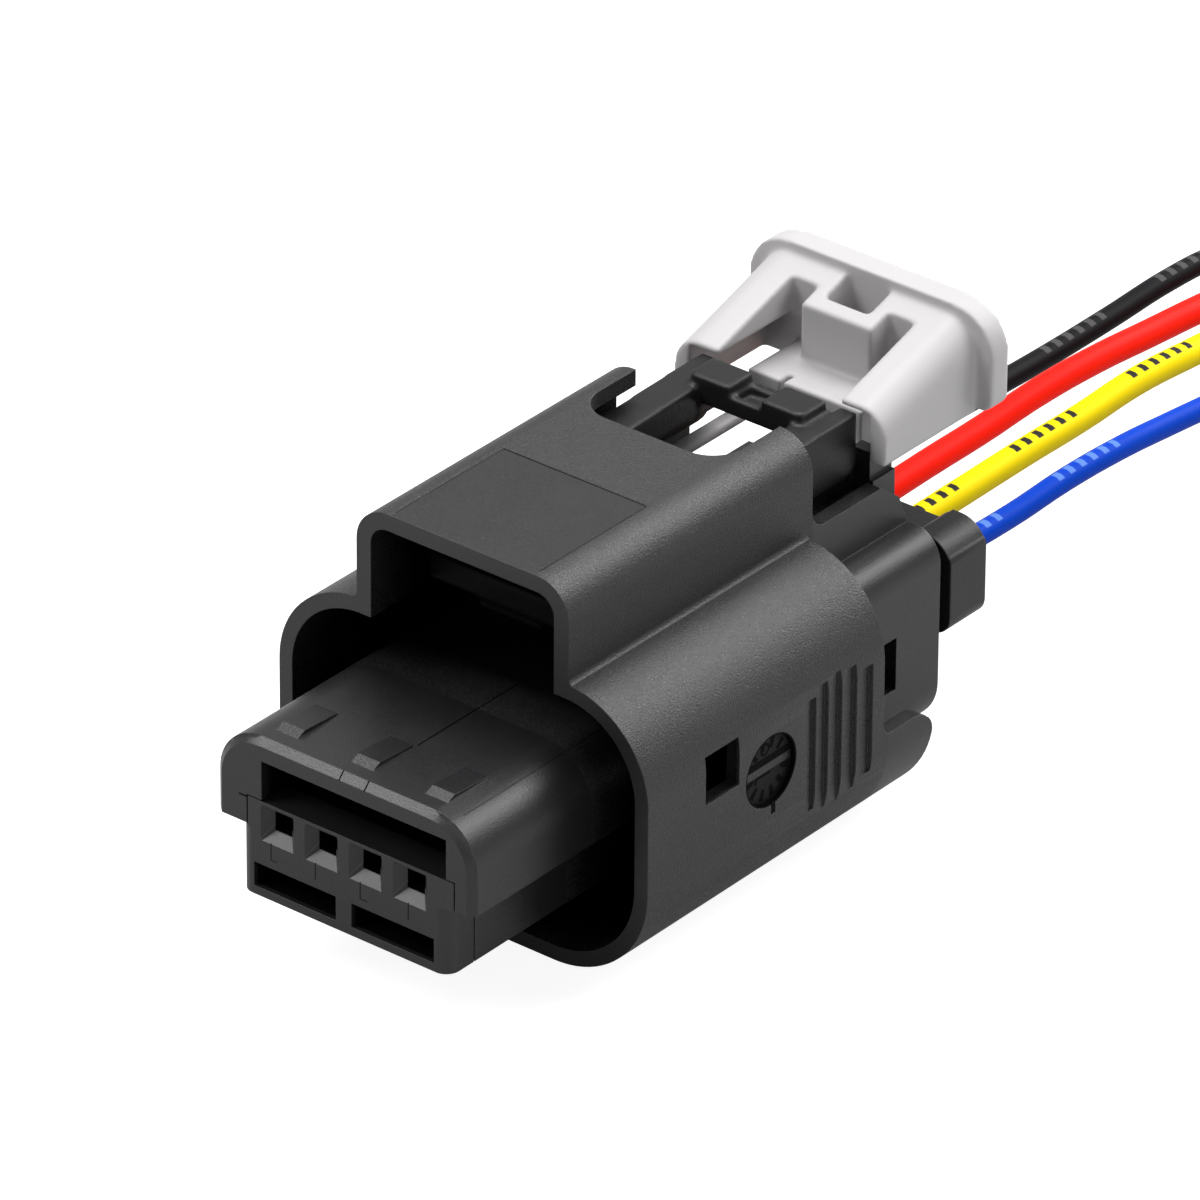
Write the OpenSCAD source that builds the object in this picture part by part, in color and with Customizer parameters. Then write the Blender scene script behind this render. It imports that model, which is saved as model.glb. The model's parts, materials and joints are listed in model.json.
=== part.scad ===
// Sealed four-way female wire connector with a secondary lock and four leads.
// Millimetres. X is across the terminals, Y runs from the nose to the leads and
// Z is up from the surface it lies on. Y is counted from the nose face while
// drawing, and the whole part is then moved back by half its length.

/* [Node] */

/* [Terminals] */
// Distance between neighbouring terminals
pitch = 3.5; // [3:0.1:5]
// Height of the terminal row above the surface
row_z = 9.98; // [8:0.05:12]
// Side of each square terminal channel
channel_w = 2.3; // [1.8:0.05:2.8]
// Play between a terminal and its channel, each side
channel_play = 0.02; // [0.01:0.01:0.1]
// Width of the square funnel in front of each contact
funnel_w = 2.66; // [2:0.02:3]
// Depth of that funnel
funnel_d = 0.68; // [0.3:0.02:1.2]
// Side of the hole at the bottom of the funnel
contact_hole = 1.37; // [1:0.01:2]
// Radius of the stripped conductor
core_r = 0.6; // [0.3:0.05:0.8]

/* [Shroud] */
// Distance from the nose face to the front rim of the shroud
shroud_front = 11.3; // [6:0.1:16]
// Distance from the nose face to the rear edge of the shroud
shroud_rear = 34.65; // [28:0.05:38]
// Thickness of the shroud wall
shroud_wall = 1.05; // [0.8:0.05:2]
// Half the width of the shroud
shroud_half = 14.65; // [12:0.05:18]
// Height of the shroud
shroud_top = 19.95; // [17:0.05:24]
// Radius of its upper corners
shroud_r_top = 6.6; // [3:0.1:8]
// Radius of its lower corners
shroud_r_low = 7.3; // [3:0.1:9]

/* [Bridge over the latch] */
// Half the width of the bridge
bridge_half = 8.37; // [7:0.01:10]
// Height of the bridge
bridge_top = 26.65; // [24:0.05:30]
// Thickness of its walls
bridge_wall = 1.15; // [0.8:0.05:2]
// Radius of its upper corners
bridge_r = 2.5; // [1.2:0.1:3]
// Rear edge of the bridge
bridge_rear = 35.2; // [32:0.1:38]
// Front edge of the finger opening in its roof
notch_front = 29.15; // [25:0.05:32]
// Half the width of the finger opening
notch_half = 5.7; // [4:0.1:6.5]

/* [Nose] */
// Half the width of the upper nose
nose_half = 10.2; // [9:0.1:12]
// Top of the nose
nose_top = 15.6; // [14:0.05:18]
// Height of the step between upper and lower nose
nose_step = 9.3; // [8:0.1:11]
// Half the width of the lower nose
lower_half = 8.3; // [7:0.1:9.5]
// Underside of the nose
nose_low = 4.45; // [3.5:0.05:6]
// Radius of the top edges of the nose
nose_r = 3.5; // [1.5:0.1:4]
// Depth of the front bevel
bevel_d = 0.45; // [0.2:0.05:1]
// Width of the front bevel
bevel_w = 0.5; // [0.2:0.05:1]

/* [Rear block] */
// Half the width of the block that holds the wire seal
block_half = 11; // [9:0.1:13]
// Rear face of the block
block_rear = 45; // [42:0.1:48]
// Underside of the block
block_low = 2.45; // [1:0.05:4]
// Top of the block
block_top = 16.65; // [14:0.05:18]
// Half the width of the seal pocket
pocket_half = 9.8; // [8:0.1:10.2]
// Front wall of the seal pocket
pocket_front = 35.5; // [34:0.1:38]
// Underside and top of the seal pocket
pocket_low = 6.5; // [5:0.1:8]
pocket_top = 13.6; // [12:0.1:14.5]

/* [Latch lever] */
// Place of the lever's turning axis
lever_y = 27; // [24:0.1:30]
lever_z = 22; // [20:0.1:24]
// Radius of the stubs that the lever turns on
stub_r = 0.9; // [0.5:0.05:1.3]
// Play of the stubs in the housing
stub_play = 0.05; // [0.02:0.01:0.1]
// Outer half width of the lever
lever_half = 6.2; // [5:0.1:6.4]
// Inner half width between its two arms
lever_gap = 3.65; // [2.5:0.05:4.5]
// Top of the arms at their rear
arm_top = 24.65; // [24:0.05:25]
// Underside of the arms at their rear
arm_low = 22.3; // [22:0.05:23]
// Height of the two finger pads on them
pad_h = 0.7; // [0.3:0.05:1]

/* [Secondary lock] */
// Length from the nose face to the back of the lock's thumb plate
overall_l = 53.4; // [50:0.1:58]
// Thickness of the thumb plate
plate_t = 1.8; // [1:0.1:3]
// Half the width of the thumb plate
plate_half = 9.7; // [8.6:0.1:11]
// Top of the thumb plate
plate_top = 28.65; // [27:0.05:31]
// Half the width of the lock's body
lock_half = 8.4; // [7.5:0.1:9]
// Front ends of its two legs
leg_front = 42.4; // [42:0.1:44]
// Underside of the legs
leg_low = 24.85; // [24:0.05:26]
// Thickness of the sides of the lock's body
lock_wall = 1.2; // [0.8:0.05:2]
// Slope of the top of the body, rise over run
lock_slope = 0.305; // [0.1:0.005:0.5]
// Way the lock can be pushed in
lock_travel = 3.2; // [1:0.1:3.2]

/* [Rear cap] */
// Rear face of the cap
cap_rear = 49.75; // [48:0.05:51]
// Width of the groove between block and cap
cap_groove = 1.1; // [0.5:0.1:2]
// Play of the cap in its pocket
cap_play = 0.05; // [0.02:0.01:0.2]

/* [Leads] */
// Radius of the two thinner leads, black and blue
thin_r = 0.78; // [0.5:0.02:1]
// Radius of the two thicker leads, red and yellow
thick_r = 0.95; // [0.5:0.02:1.05]
// Play of the leads in the rear cap
lead_play = 0.12; // [0.05:0.01:0.3]

/* [Hidden] */
$fn = 48;
eps = 0.05;
far = 40;
ways = [-1.5, -0.5, 0.5, 1.5];
lead_radii = [thin_r, thick_r, thick_r, thin_r];
retainer_t = 2.4;
retainer_left = -7.6;
retainer_right = 8.7;
fit = 0.1;
slot_low = 11.35;
slot_top = 14.1;
back_wall = 2.45;
cavity_back = shroud_rear - back_wall;
seal_gap = 2;
seal_len = 4.2;
seal_lips = [1, 2.9];
seal_lip_half = 0.35;
tower_base = cavity_back - seal_len - seal_gap;
shoulder_cut = 42.6;
post_front = 42.75;
rail_top = 20.15;
rail_in = bridge_half - bridge_wall;
deck_top = 15.3;
grip_front = 38.9;
leg_in = 4.85;
grip_low = 23.4;
prong_front = 36;
prong_in = 3.7;
prong_out = 4.8;
prong_low = 19.95;
prong_top = 20.65;
arm_end = 42.5;
terminal_front = 2.7;
barrel_front = 14;
terminal_rear = 23.2;
seal_rear = 41;
coil_at = [11, 118];
coil_in = 7.3;
coil_out = 14.7;
coil_h = 6.1;

// ---------- outlines and helpers ----------

// Extrudes an outline drawn in X and Z from y0 to y1.
module along_y(y0, y1) {
    translate([0, y1, 0]) rotate([90, 0, 0]) linear_extrude(y1 - y0) children();
}

// Extrudes an outline drawn in Y and Z from x0 to x1.
module along_x(x0, x1) {
    translate([x0, 0, 0]) rotate([90, 0, 90]) linear_extrude(x1 - x0) children();
}

// A box given by its two ends along each axis.
module block(x, y, z) {
    translate([x[0], y[0], z[0]]) cube([x[1] - x[0], y[1] - y[0], z[1] - z[0]]);
}

// The same children on the right and mirrored on the left.
module both_sides() {
    children();
    mirror([1, 0, 0]) children();
}

// A symmetric outline with rounded corners, low radius rl and top radius rt.
module round_outline(half, low, top, rl, rt) {
    polygon([
        [-half + rl, low], [half - rl, low], [half, low + rl], [half, top - rt],
        [half - rt, top], [-half + rt, top], [-half, top - rt], [-half, low + rl]
    ]);
    for (s = [-1, 1]) {
        translate([s * (half - rl), low + rl]) circle(rl);
        translate([s * (half - rt), top - rt]) circle(rt);
    }
}

module shroud_outline(inset) {
    round_outline(shroud_half - inset, inset, shroud_top - inset,
        shroud_r_low - inset, shroud_r_top - inset);
}

module bridge_outline(inset) {
    round_outline(bridge_half - inset, 12, bridge_top - inset, 0.5, bridge_r - inset);
}

// ---------- housing ----------

// The upper nose, whose front is bevelled round its edge.
module upper_nose() {
    side = nose_half - nose_r;
    top = nose_top - nose_r;
    along_x(-side, side) polygon([
        [0, nose_step], [0, nose_top - bevel_w], [bevel_d, nose_top],
        [cavity_back + 1, nose_top], [cavity_back + 1, nose_step]
    ]);
    translate([0, 0, nose_step]) linear_extrude(top - nose_step) polygon([
        [-nose_half + bevel_w, 0], [nose_half - bevel_w, 0], [nose_half, bevel_d],
        [nose_half, cavity_back + 1], [-nose_half, cavity_back + 1], [-nose_half, bevel_d]
    ]);
    difference() {
        for (s = [-1, 1]) translate([s * side, 0, top]) rotate([-90, 0, 0]) {
            cylinder(h = bevel_d, r1 = nose_r - bevel_w, r2 = nose_r);
            translate([0, 0, bevel_d]) cylinder(h = cavity_back + 1 - bevel_d, r = nose_r);
        }
        block([-far / 2, far / 2], [-1, cavity_back + 2], [nose_step - 5, nose_step]);
    }
}

// Three low pads on the nose, each with a ramp at its front.
module nose_pads() {
    for (x = [-5.75, 0.22, 6.1]) along_x(x - 0.88, x + 0.88) polygon([
        [1.53, nose_top - 0.5], [1.53, nose_top], [2.2, nose_top + 0.3],
        [5.3, nose_top + 0.08], [5.3, nose_top - 0.5]
    ]);
}

module tower() {
    difference() {
        union() {
            upper_nose();
            block([-lower_half, lower_half], [retainer_t + fit, cavity_back + 1],
                [nose_low, nose_step + 1]);
            along_y(tower_base, cavity_back + 1)
                round_outline(nose_half, nose_low, nose_top, 2.5, nose_r);
            nose_pads();
        }
        // room for the front retainer and its two tongues
        block([retainer_left - fit, retainer_right + fit], [-1, retainer_t + fit],
            [nose_low - 1, slot_low]);
        both_sides() {
            block([0.6, 7.2], [2, 10.7], [6.9, 8.62]);
            block([0.62, 7.14], [2, 9], [5.05, 6.75]);
        }
        // wide slot above the terminals
        block([-6.5, 8.1], [-1, 10], [slot_low - fit, slot_top]);
    }
}

// Side walls that carry on behind the bridge and hold up the lock.
module rails() {
    both_sides() along_x(rail_in, bridge_half) {
        polygon([
            [cavity_back, 12], [cavity_back, rail_top], [42.2, rail_top],
            [44, 18.8], [block_rear, 16.6], [block_rear, 12]
        ]);
        // sweep from the bridge down to the rail
        difference() {
            translate([bridge_rear - 1, rail_top - 1]) square([2.4, 2.4]);
            translate([bridge_rear + 1.4, rail_top + 1.4]) circle(1.4);
        }
    }
}

// Ledges that carry the prongs of the lock, with a groove beside each for the
// skirts of the lever. The right one is longer and ends in a post.
module ledges() {
    for (side = [[-1, 38.6], [1, block_rear]]) {
        x = side[0] > 0 ? [4.4, rail_in + eps] : [-rail_in - eps, -4.4];
        lip = side[0] > 0 ? [4.4, 5.1] : [-5.1, -4.4];
        block(x, [bridge_rear - eps, side[1]], [17.4, 18.4]);
        block(lip, [bridge_rear - eps, side[1]], [18.4 - eps, 19.9]);
    }
    along_x(5.6, 7) polygon([
        [post_front, deck_top - eps], [post_front, 22], [43.7, 22], [block_rear, 20.6],
        [block_rear, deck_top - eps]
    ]);
    block([7 - eps, rail_in + eps], [post_front, block_rear], [deck_top - eps, 20]);
}

// The lower part of the shroud reaches further back, with a rounded end.
module fin() {
    intersection() {
        difference() {
            along_y(shroud_rear - 1, 39.8) shroud_outline(0);
            along_y(shroud_rear - 2, 40.8) shroud_outline(shroud_wall);
        }
        along_x(-far, far) {
            translate([shroud_rear - 1, -1]) square([4.15, 8.95]);
            translate([shroud_rear - 1, -1]) square([6.15, 6.95]);
            translate([37.8, 5.95]) circle(2);
            difference() {
                translate([shroud_rear - 1, 7]) square([1.8, 1.75]);
                translate([shroud_rear + 0.8, 8.75]) circle(0.8);
            }
        }
    }
}

module rear_block() {
    along_y(cavity_back, block_rear) round_outline(block_half, block_low, block_top, 3.4, 2.2);
}

// Hollow between the rear bosses, through which the lever can be pressed.
module lever_space() {
    along_y(cavity_back, block_rear + 1)
        translate([-rail_in, deck_top]) square([2 * rail_in, 5]);
    along_y(cavity_back, bridge_rear + 1) difference() {
        bridge_outline(bridge_wall);
        translate([-far / 2, 0]) square([far, deck_top + 1]);
    }
}

// Opening in the roof of the bridge, open to the rear.
module roof_notch() {
    r = 2.4;
    translate([0, 0, bridge_top - 4]) linear_extrude(6) {
        translate([-notch_half, notch_front + r]) square([2 * notch_half, 12]);
        translate([-notch_half + r, notch_front]) square([2 * (notch_half - r), 12]);
        for (s = [-1, 1]) translate([s * (notch_half - r), notch_front + r]) circle(r);
    }
}

// Saw-tooth finger grip, its steps long in the middle and short at the ends.
module grip_cuts() {
    steps = [26.8, 27.8, 29.05, 30.4, 31.9, 33.5];
    for (i = [0:4]) {
        middle = 1 - pow((i - 1.9) / 3.4, 2);
        low = 7.15 - 1.75 * middle;
        high = 12.4 + 2.3 * middle;
        translate([0, 0, low]) linear_extrude(high - low) polygon([
            [shroud_half + 0.5, steps[i]], [shroud_half, steps[i]],
            [shroud_half - 0.3, steps[i + 1] - 0.1], [shroud_half, steps[i + 1]],
            [shroud_half + 0.5, steps[i + 1]]
        ]);
    }
}

module bosses() {
    both_sides() translate([rail_in - 0.7, lever_y, lever_z]) rotate([0, 90, 0])
        cylinder(h = 1, r = 1.9);
}

// Shroud and bridge, hollow from the front.
module shell() {
    fillet = 0.5;
    difference() {
        union() {
            along_y(shroud_front, shroud_rear) shroud_outline(0);
            along_y(shroud_front, bridge_rear) bridge_outline(0);
            // soft inner corner between bridge and shroud
            both_sides() along_y(shroud_front, shroud_rear) difference() {
                translate([bridge_half - 0.2, shroud_top - 0.6])
                    square([fillet + 0.2, fillet + 0.5]);
                translate([bridge_half + fillet, shroud_top + fillet - 0.1]) circle(fillet);
            }
        }
        along_y(shroud_front - 1, cavity_back) {
            shroud_outline(shroud_wall);
            bridge_outline(bridge_wall);
        }
        // the bottom of the shell stays open behind the back wall
        along_y(shroud_rear, bridge_rear + 1) translate([-far / 2, 0]) square([far, 12]);
    }
}

module housing() {
    color("#26262a") difference() {
        union() {
            difference() {
                union() {
                    shell();
                    tower();
                    rear_block();
                    rails();
                    fin();
                    bosses();
                }
                lever_space();
                roof_notch();
            }
            ledges();
        }
        // side windows of the shroud and of the block
        block([11, far / 2], [16.9, 20.2], [11.2, 14.55]);
        both_sides() block([pocket_half - 1, far / 2], [39, 40.6], [7.35, 11.1]);
        // shallow round field for a plain dial
        translate([shroud_half - 0.35, 23.35, 10.75]) rotate([0, 90, 0]) cylinder(h = 2, r = 2.4);
        both_sides() grip_cuts();
        // terminal channels and the pocket for the wire seal
        for (w = ways) block([w * pitch - channel_w / 2, w * pitch + channel_w / 2],
            [1, pocket_front + 1], [row_z - channel_w / 2, row_z + channel_w / 2]);
        along_y(pocket_front, block_rear + 1)
            round_outline(pocket_half, pocket_low, pocket_top, 2, 2);
        // bearings of the lever
        both_sides() translate([lever_half, lever_y, lever_z]) rotate([0, 90, 0])
            cylinder(h = 1.45, r = stub_r + stub_play);
        // the left rear shoulder is lower than the right one
        block([-far / 2, -5], [shoulder_cut, block_rear + 1], [deck_top, far]);
    }
}

// ---------- front retainer ----------

module front_retainer() {
    color("#242428") difference() {
        union() {
            translate([0, 0, nose_low]) linear_extrude(nose_step - fit - nose_low) {
                translate([-lower_half + 1, 0]) square([2 * lower_half - 2, retainer_t]);
                translate([-lower_half, 1]) square([2 * lower_half, retainer_t - 1]);
                for (s = [-1, 1]) translate([s * (lower_half - 1), 1]) circle(1);
            }
            block([retainer_left, retainer_right], [0, retainer_t],
                [nose_step - fit - eps, slot_low - fit]);
            both_sides() block([0.7, 7.1], [retainer_t - eps, 9.4], [7, 8.52]);
        }
        for (w = ways) translate([w * pitch, 0, 0]) {
            block([-contact_hole / 2, contact_hole / 2], [-1, far / 4], [9.65, 10.85]);
            // funnel: sloping left, right and below, straight above
            intersection() {
                translate([0, 0, 8]) linear_extrude(2.85) polygon([
                    [-funnel_w / 2, -0.001], [funnel_w / 2, -0.001],
                    [contact_hole / 2, funnel_d], [-contact_hole / 2, funnel_d]
                ]);
                along_x(-2, 2) polygon([
                    [-0.001, 8.68], [funnel_d, 9.65], [funnel_d, 11], [-0.001, 11]
                ]);
            }
        }
        both_sides() block([0.62, 7.14], [-1, retainer_t + 1], [5.05, 6.75]);
    }
}

// ---------- seals ----------

// A sleeve on the base of the tower with two lips round it.
module perimeter_seal() {
    front = cavity_back - seal_len;
    color("#3a3a3e") difference() {
        union() {
            along_y(front, cavity_back)
                round_outline(nose_half + 0.9, nose_low - 0.9, nose_top + 0.9, 3.4, 4.4);
            for (y = seal_lips)
                along_y(front + y - seal_lip_half, front + y + seal_lip_half)
                    round_outline(nose_half + 1.5, nose_low - 1.5, nose_top + 1.5, 4, 5);
        }
        along_y(tower_base, cavity_back + 1)
            round_outline(nose_half, nose_low, nose_top, 2.5, nose_r);
    }
}

module wire_seal() {
    color("#4a4a50") difference() {
        along_y(pocket_front, seal_rear)
            round_outline(pocket_half - cap_play, pocket_low + cap_play,
                pocket_top - cap_play, 2, 2);
        for (i = [0:3]) translate([ways[i] * pitch, 30, row_z]) rotate([-90, 0, 0])
            cylinder(h = 20, r = lead_radii[i] + 0.02);
    }
}

// ---------- latch lever ----------

// Two sprung arms with a front bar. The finger grip and the skirts below are
// moulded in one with them and drawn apart only for true contact shapes.
module latch_lever() {
    color("#2a2a2e") {
        // arms that rise from the front bar and then run level
        both_sides() along_x(lever_gap, lever_half) polygon([
            [15.6, 20.15], [15.6, 22.05], [31.5, 24.4], [grip_front, arm_top],
            [grip_front, arm_low], [31.5, arm_low]
        ]);
        both_sides() block([4.8, lever_half], [grip_front - eps, arm_end], [arm_low, arm_top]);
        // front bar with its catch
        block([-lever_gap - eps, lever_gap + eps], [15.6, 18.4], [20.15, 22.05]);
        block([-2.5, 2.5], [15.9, 18.4], [19.4, 20.2]);
        // stubs that it turns on
        both_sides() translate([lever_half - eps, lever_y, lever_z]) rotate([0, 90, 0])
            cylinder(h = 1.3, r = stub_r);
        both_sides() translate([lever_half - 1.6, lever_y, lever_z]) rotate([0, 90, 0])
            cylinder(h = 1.6, r = 1.5);
    }
}

// A skirt that hangs from the outer side of each arm.
module lever_skirts() {
    color("#2a2a2e") both_sides() along_x(lever_half - 0.8, lever_half) difference() {
        translate([35, 20.35]) square([arm_end - 35, arm_low - 20.35]);
        // rounded lower corner at the rear
        difference() {
            translate([arm_end - 1, 20.3]) square([1.1, 1.05]);
            translate([arm_end - 1, 21.35]) circle(1);
        }
    }
}

// The bar across the end of the arms, with two finger pads.
module finger_grip() {
    front = grip_front;
    back = 41.5;
    color("#2a2a2e") difference() {
        union() {
            both_sides() block([lever_gap - eps, 4.8], [front, back], [arm_low, arm_top]);
            block([-lever_gap, lever_gap], [front, back], [grip_low, arm_top]);
            // pads with rounded front corners
            both_sides() translate([0, 0, arm_top - eps]) linear_extrude(pad_h + eps) {
                translate([1.25, front + 0.5]) square([3.3, back - front - 0.5]);
                translate([1.25, front]) square([2.8, 2]);
                translate([4.05, front + 0.5]) circle(0.5);
            }
        }
        // pocket between the pads
        block([-1, 1], [front + 0.6, back - 0.6], [arm_top - 0.6, arm_top + 1]);
    }
}

// ---------- secondary lock ----------

// The lock's sloping body with rounded top edges.
module lock_body() {
    rise = atan(lock_slope);
    intersection() {
        translate([0, leg_front, leg_low + 0.35]) rotate([rise, 0, 0])
            along_y(-2, 12) round_outline(lock_half, -9, 0, 0.5, 2);
        block([-far / 2, far / 2], [leg_front, overall_l - plate_t + eps], [21.5, 30]);
    }
}

module secondary_lock() {
    back = overall_l - plate_t;
    color("#e6e4e5") {
        difference() {
            lock_body();
            // open underneath, with a skirt down each side
            block([-lock_half + lock_wall, lock_half - lock_wall],
                [leg_front - 1, back - 1.5], [20, leg_low]);
            // gap between the legs in front of the middle block
            block([-leg_in, leg_in], [leg_front - 1, 48.1], [20, 30]);
            both_sides() block([2.8, leg_in], [leg_front, 49.9], [20, 30]);
            // notch in the middle block
            block([-1.7, 1.7], [49.3, back], [24, 30]);
        }
        // middle block down to the floor
        difference() {
            block([-2.8, 2.8], [48.1, back + eps], [23, 26.5]);
            block([-1.7, 1.7], [49.3, back], [24, 30]);
        }
        // floor with a slit
        difference() {
            block([-4.5, 4.5], [45, back + eps], [22.05, 23.05]);
            block([-1.95, -1.65], [44, 46.1], [22, 24]);
            block([-1.95, -1.2], [45.8, 46.1], [22, 24]);
        }
        // webs between the floor and the prongs
        both_sides() block([prong_in, 4.5], [45, back + eps], [prong_top, 22.1]);
        // thumb plate
        along_y(back, overall_l) round_outline(plate_half, 21.85, plate_top, 0.8, 3.2);
        both_sides() block([prong_in, lock_half - lock_wall + eps], [back - 0.6, back + eps],
            [21.9, 25]);
        block([-4.9, 4.9], [back, overall_l - 0.4], [prong_low, 22]);
    }
}

// Prongs of the lock, which slide on the ledges of the housing. They are moulded
// in one with it and drawn apart only for true contact shapes.
module lock_prongs() {
    color("#e6e4e5") both_sides()
        block([prong_in, prong_out], [prong_front, overall_l - plate_t], [prong_low, prong_top]);
}

// ---------- rear cap ----------

module rear_cap() {
    flange = block_rear + cap_groove;
    color("#27272b") difference() {
        union() {
            along_y(seal_rear, flange + eps)
                round_outline(pocket_half - cap_play, pocket_low + cap_play,
                    pocket_top - cap_play, 2, 2);
            along_y(flange, cap_rear) difference() {
                union() {
                    round_outline(block_half, 8.6, 14.45, 1.3, 0.6);
                    translate([8.3, 11]) square([0.7, 4.35]);
                    translate([9, 13.35]) circle(2);
                    translate([8.3, 10]) square([2.7, 3.35]);
                }
                // the left shoulder slopes away
                polygon([[-8, 14.5], [-12, 10.5], [-12, 16], [-8, 16]]);
            }
            along_y(flange, cap_rear) round_outline(7.2, 7, 10, 1, 0.5);
        }
        for (i = [0:3]) translate([ways[i] * pitch, 30, row_z]) rotate([-90, 0, 0])
            cylinder(h = 30, r = lead_radii[i] + lead_play);
    }
}

// ---------- terminals and conductors ----------

module terminal(i) {
    side = channel_w / 2 - channel_play;
    color("#b9a27a") translate([ways[i] * pitch, 0, row_z]) difference() {
        union() {
            block([-side, side], [terminal_front, barrel_front - 2], [-side, side]);
            block([-0.6, 0.6], [barrel_front - 2 - eps, barrel_front + eps], [-side, 0.6]);
            translate([0, barrel_front, 0]) rotate([-90, 0, 0])
                cylinder(h = terminal_rear - barrel_front, r = side);
        }
        block([-0.65, 0.65], [0, 9], [-0.4, 0.6]);
        translate([0, barrel_front + 1, 0]) rotate([-90, 0, 0]) cylinder(h = 20, r = core_r + 0.02);
    }
}

module conductor(i) {
    color("#c98a5a") translate([ways[i] * pitch, barrel_front + 1, row_z])
        rotate([-90, 0, 0]) cylinder(h = terminal_rear - barrel_front - 1, r = core_r);
}

module terminal_1() { terminal(0); }
module terminal_2() { terminal(1); }
module terminal_3() { terminal(2); }
module terminal_4() { terminal(3); }
module conductor_1() { conductor(0); }
module conductor_2() { conductor(1); }
module conductor_3() { conductor(2); }
module conductor_4() { conductor(3); }

// ---------- leads ----------

// Routes from the crimp, through seal and cap, back and down to the coil.
black_route = [
    [-5.25, 23.2, 9.98], [-5.25, 49, 9.98], [-5.25, 56, 10.1], [-5.25, 64, 10.1],
    [-5.25, 72, 9.9], [-5.25, 78, 9.75], [-5.25, 84.5, 9.75], [-5.25, 91, 9.85],
    [-5.2, 96, 9.5], [-5, 100.5, 8.5], [-4.6, 105, 6.9], [-4, 109, 5.3],
    [-3.3, 113, 4.1], [-2.9, 116.5, 3.5]
];
red_route = [
    [-1.75, 23.2, 9.98], [-1.75, 49, 9.98], [-1.75, 54, 10.3], [-1.75, 60, 10.47],
    [-1.75, 66, 10.5], [-1.75, 72, 10.7], [-1.75, 78, 10.5], [-1.75, 84, 9.95],
    [-1.75, 90, 9.4], [-1.75, 96, 8.7], [-1.6, 101, 7.7], [-1.4, 105.5, 6.6],
    [-1.15, 110, 5.6], [-0.98, 114, 4.9], [-0.95, 117, 4.6]
];
yellow_route = [
    [1.75, 23.2, 9.98], [1.75, 49, 9.98], [1.75, 54, 10], [1.75, 60, 10.05],
    [1.75, 66, 10.1], [1.75, 72, 10.05], [1.75, 78, 10.2], [1.75, 84, 9.75],
    [1.7, 90, 9.1], [1.55, 96, 8.25], [1.35, 101.5, 7.25], [1.15, 107, 6.2],
    [1, 112, 5.4], [0.95, 117, 5.1]
];
blue_route = [
    [5.25, 23.2, 9.98], [5.25, 49, 9.98], [5.25, 54, 9.5], [5.25, 60, 9.3],
    [5.25, 66, 9.45], [5.25, 72, 9.2], [5.25, 77, 8.7], [5.25, 82, 8.15],
    [5.1, 88, 7.4], [4.7, 94, 6.7], [4.1, 100, 6.1], [3.5, 106, 5.6],
    [3, 112, 5.25], [2.85, 117, 5.1]
];

function unit(v) = v / norm(v);
function heading(p, i) =
    unit(p[min(i + 1, len(p) - 1)] - p[max(i - 1, 0)]);

// A closed tube of eight sides along a list of points.
module tube(route, r) {
    n = 8;
    rings = [
        for (i = [0:len(route) - 1])
            let (d = heading(route, i), across = unit(cross(d, [0, 0, 1])), up = cross(across, d))
                for (k = [0:n - 1])
                    let (a = 360 * (k + 0.5) / n)
                        route[i] + r * (cos(a) * across + sin(a) * up)
    ];
    last = n * (len(route) - 1);
    polyhedron(rings, concat(
        [[for (k = [0:n - 1]) k]],
        [for (i = [0:len(route) - 2]) for (k = [0:n - 1])
            [n * i + k, n * (i + 1) + k, n * (i + 1) + (k + 1) % n, n * i + (k + 1) % n]],
        [[for (k = [n - 1:-1:0]) last + k]]
    ));
}

module black_wire() { color("#1b1b1d") tube(black_route, thin_r); }
module red_wire() { color("#e8281c") tube(red_route, thick_r); }
module yellow_wire() { color("#f4e21a") tube(yellow_route, thick_r); }
module blue_wire() { color("#0a3fc0") tube(blue_route, thin_r); }

// Outer shape of the coiled rest of the four leads.
module wire_coil() {
    color("#808084") translate([coil_at[0], coil_at[1], 0]) rotate_extrude()
        translate([coil_in, 0]) square([coil_out - coil_in, coil_h]);
}

// A flat tie round the coil.
module coil_tie() {
    color("#101012") translate([coil_at[0] + coil_in - 1.05, coil_at[1] - 1.25, 0]) difference() {
        cube([coil_out - coil_in + 2.1, 2.5, coil_h + 1.05]);
        translate([0.9, -1, -1]) cube([coil_out - coil_in + 0.3, 5, coil_h + 1.1]);
    }
}

module place() {
    translate([0, -overall_l / 2, 0]) children();
}

place() housing();
place() front_retainer();
place() perimeter_seal();
place() latch_lever();
place() finger_grip();
place() lever_skirts();
place() secondary_lock();
place() lock_prongs();
place() rear_cap();
place() wire_seal();
place() terminal_1();
place() terminal_2();
place() terminal_3();
place() terminal_4();
place() conductor_1();
place() conductor_2();
place() conductor_3();
place() conductor_4();
place() black_wire();
place() red_wire();
place() yellow_wire();
place() blue_wire();
place() wire_coil();
place() coil_tie();
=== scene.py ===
"""Sealed four-way wire connector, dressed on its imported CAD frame."""

import json
import logging
import math
from dataclasses import dataclass, replace
from enum import Enum
from typing import Callable, Optional, Sequence, Union

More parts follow.
